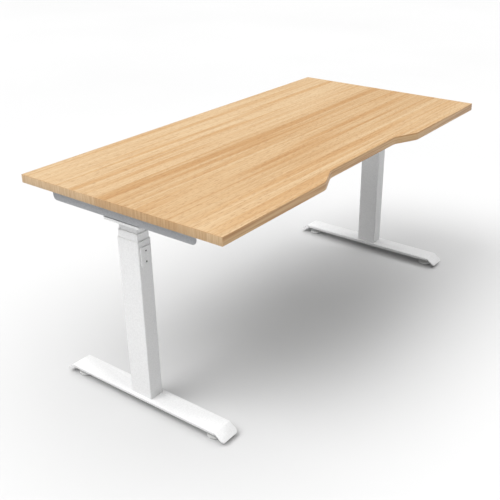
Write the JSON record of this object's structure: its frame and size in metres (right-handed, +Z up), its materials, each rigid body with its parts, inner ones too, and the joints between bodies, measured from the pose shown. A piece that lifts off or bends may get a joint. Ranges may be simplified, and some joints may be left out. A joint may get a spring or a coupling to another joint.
{
  "type": "height adjustable standing desk",
  "caption": "Electric sit-stand desk: a rectangular oak-look worktop with a rear cable recess on telescopic legs with long flat feet.",
  "frame": {"origin": "on the floor, under the centre of the worktop", "axes": "+X along the worktop's length, +Y towards the user's straight front edge, -Y towards the rear edge with the cable recess, +Z up"},
  "size_m": [1.5, 0.75, 0.68],
  "materials": {
    "oak_laminate": "satin",
    "edge_strip": "satin",
    "white_powder_coat": "fine texture",
    "grey_powder_coat": "fine texture",
    "zinc_steel": "zinc plated",
    "bright_steel": "rolled thread",
    "carrier_steel": "drawn",
    "cast_case": "die cast",
    "white_nylon": "moulded",
    "black_abs": "fine spark texture",
    "grey_key": "moulded",
    "display_window": "gloss",
    "circuit_board": "solder resist",
    "cable_sheath": "matt"
  },
  "bodies": {
    "base_left": {"outer_tube_left": "white_powder_coat", "outer_guide_left": "white_nylon", "push_tube_left": "carrier_steel", "accessory_plate_left": "white_powder_coat", "foot_left": "white_powder_coat", "foot_bolts_left": "zinc_steel"},
    "middle_left": {"middle_tube_left": "white_powder_coat", "middle_guide_left": "white_nylon", "carrier_tube_left": "carrier_steel"},
    "lower_spindle_left": {"spindle_lower_left": "bright_steel"},
    "upper_spindle_left": {"spindle_upper_left": "bright_steel"},
    "top": {"desktop": "oak_laminate", "edge_band": "edge_strip", "side_bracket_left": "grey_powder_coat", "side_bracket_right": "grey_powder_coat", "end_housing_left": "grey_powder_coat", "end_housing_right": "grey_powder_coat", "housing_cover_left": "white_powder_coat", "housing_cover_right": "white_powder_coat", "inner_tube_left": "white_powder_coat", "inner_tube_right": "white_powder_coat", "gearbox_left": "cast_case", "gearbox_right": "cast_case", "motor_left": "zinc_steel", "motor_right": "zinc_steel", "rail_front_left": "grey_powder_coat", "rail_front_right": "grey_powder_coat", "rail_rear_left": "grey_powder_coat", "rail_rear_right": "grey_powder_coat", "rail_joiners": "zinc_steel", "control_box": "black_abs", "control_lid": "zinc_steel", "control_board": "circuit_board", "handset_case": "black_abs", "handset_display": "display_window", "motor_cable_left": "cable_sheath", "motor_cable_right": "cable_sheath", "handset_cable": "cable_sheath", "cable_clips": "white_nylon", "frame_screws": "zinc_steel", "wood_screws": "zinc_steel"},
    "upper_spindle_right": {"spindle_upper_right": "bright_steel"},
    "lower_spindle_right": {"spindle_lower_right": "bright_steel"},
    "middle_right": {"middle_tube_right": "white_powder_coat", "middle_guide_right": "white_nylon", "carrier_tube_right": "carrier_steel"},
    "base_right": {"outer_tube_right": "white_powder_coat", "outer_guide_right": "white_nylon", "push_tube_right": "carrier_steel", "accessory_plate_right": "white_powder_coat", "foot_right": "white_powder_coat", "foot_bolts_right": "zinc_steel"},
    "pad_left_front": {"glide_left_front": "white_nylon"},
    "pad_left_rear": {"glide_left_rear": "white_nylon"},
    "pad_right_front": {"glide_right_front": "white_nylon"},
    "pad_right_rear": {"glide_right_rear": "white_nylon"},
    "key_up": {"button_up": "grey_key"},
    "key_down": {"button_down": "grey_key"},
    "key_one": {"button_one": "grey_key"},
    "key_two": {"button_two": "grey_key"}
  },
  "joints": [
    {"name": "lift_left_lower", "type": "slide", "parent": "base_left", "child": "middle_left", "axis": [0, 0, 1], "range_m": [0, 0.3]},
    {"name": "lift_left_upper", "type": "slide", "parent": "middle_left", "child": "top", "axis": [0, 0, 1], "range_m": [0, 0.3]},
    {"name": "lift_right_upper", "type": "slide", "parent": "top", "child": "middle_right", "axis": [0, 0, -1], "range_m": [0, 0.3]},
    {"name": "lift_right_lower", "type": "slide", "parent": "middle_right", "child": "base_right", "axis": [0, 0, -1], "range_m": [0, 0.3]},
    {"name": "spin_left_lower", "type": "hinge", "parent": "middle_left", "child": "lower_spindle_left", "pos_m": [-0.684, 0, 0.3], "axis": [0, 0, 1], "continuous": true},
    {"name": "spin_left_upper", "type": "hinge", "parent": "top", "child": "upper_spindle_left", "pos_m": [-0.684, 0, 0.4], "axis": [0, 0, 1], "continuous": true},
    {"name": "spin_right_lower", "type": "hinge", "parent": "middle_right", "child": "lower_spindle_right", "pos_m": [0.684, 0, 0.3], "axis": [0, 0, 1], "continuous": true},
    {"name": "spin_right_upper", "type": "hinge", "parent": "top", "child": "upper_spindle_right", "pos_m": [0.684, 0, 0.4], "axis": [0, 0, 1], "continuous": true},
    {"name": "level_left_front", "type": "slide", "parent": "base_left", "child": "pad_left_front", "axis": [0, 0, -1], "range_m": [0, 0.008]},
    {"name": "level_left_rear", "type": "slide", "parent": "base_left", "child": "pad_left_rear", "axis": [0, 0, -1], "range_m": [0, 0.008]},
    {"name": "level_right_front", "type": "slide", "parent": "base_right", "child": "pad_right_front", "axis": [0, 0, -1], "range_m": [0, 0.008]},
    {"name": "level_right_rear", "type": "slide", "parent": "base_right", "child": "pad_right_rear", "axis": [0, 0, -1], "range_m": [0, 0.008]},
    {"name": "press_up", "type": "slide", "parent": "top", "child": "key_up", "axis": [0, -1, 0], "range_m": [0, 0.001], "stiffness_N_per_m": 800, "springref_m": -0.0005},
    {"name": "press_down", "type": "slide", "parent": "top", "child": "key_down", "axis": [0, -1, 0], "range_m": [0, 0.001], "stiffness_N_per_m": 800, "springref_m": -0.0005},
    {"name": "press_one", "type": "slide", "parent": "top", "child": "key_one", "axis": [0, -1, 0], "range_m": [0, 0.001], "stiffness_N_per_m": 800, "springref_m": -0.0005},
    {"name": "press_two", "type": "slide", "parent": "top", "child": "key_two", "axis": [0, -1, 0], "range_m": [0, 0.001], "stiffness_N_per_m": 800, "springref_m": -0.0005}
  ],
  "couplings": [
    {"joint": "lift_left_upper", "follows": "lift_left_lower", "ratio": 1},
    {"joint": "lift_right_upper", "follows": "lift_left_lower", "ratio": 1},
    {"joint": "lift_right_lower", "follows": "lift_left_lower", "ratio": 1},
    {"joint": "spin_left_lower", "follows": "lift_left_lower", "rad_per_m": 628.32},
    {"joint": "spin_left_upper", "follows": "lift_left_lower", "rad_per_m": 628.32},
    {"joint": "spin_right_lower", "follows": "lift_left_lower", "rad_per_m": 628.32},
    {"joint": "spin_right_upper", "follows": "lift_left_lower", "rad_per_m": 628.32}
  ]
}
